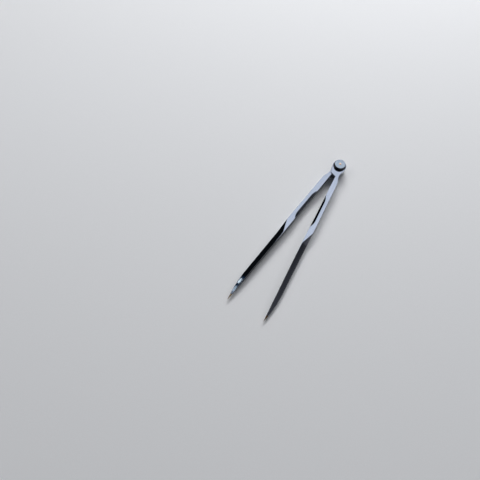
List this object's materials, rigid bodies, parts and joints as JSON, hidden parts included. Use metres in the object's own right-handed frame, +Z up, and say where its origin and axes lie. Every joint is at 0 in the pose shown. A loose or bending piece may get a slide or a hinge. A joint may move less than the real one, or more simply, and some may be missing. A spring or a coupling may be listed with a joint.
{
  "type": "divider caliper",
  "caption": "Straight chart divider: plated flat legs with finger hollows and ground points, joined by a lapped leaf joint with a brass rivet between turned caps.",
  "frame": {"origin": "pivot axis at the flat underside of the bottom cap", "axes": "+Z up the pivot axis, away from the bottom cap; the legs point along -Y and stand open the same angle to each side"},
  "size_m": [0.0342, 0.1549, 0.0097],
  "materials": {
    "plated_leg": "polished nickel-chrome plate with fine lengthwise polishing marks",
    "turned_cap": "plated, with fine concentric turning marks; the slanted side is blackened",
    "point_steel": "hardened steel ground bare, tempered to straw brown",
    "pivot_brass": "riveted brass, slightly tarnished",
    "washer_bronze": "rolled phosphor bronze",
    "spring_steel": "blued spring steel"
  },
  "bodies": {
    "left": {"left_leg": "plated_leg", "left_point": "point_steel", "pivot_pin": "pivot_brass", "top_cap": "turned_cap", "bottom_cap": "turned_cap", "top_friction_washer": "washer_bronze", "leaf_washer": "washer_bronze", "bottom_friction_washer": "washer_bronze", "spring_washer": "spring_steel"},
    "right": {"right_leg": "plated_leg", "right_point": "point_steel"}
  },
  "joints": [
    {"name": "leg_hinge", "type": "hinge", "parent": "left", "child": "right", "pos_m": [0, 0, 0.00415], "axis": [0, 0, 1], "range_deg": [-11.75, 168.2]}
  ]
}
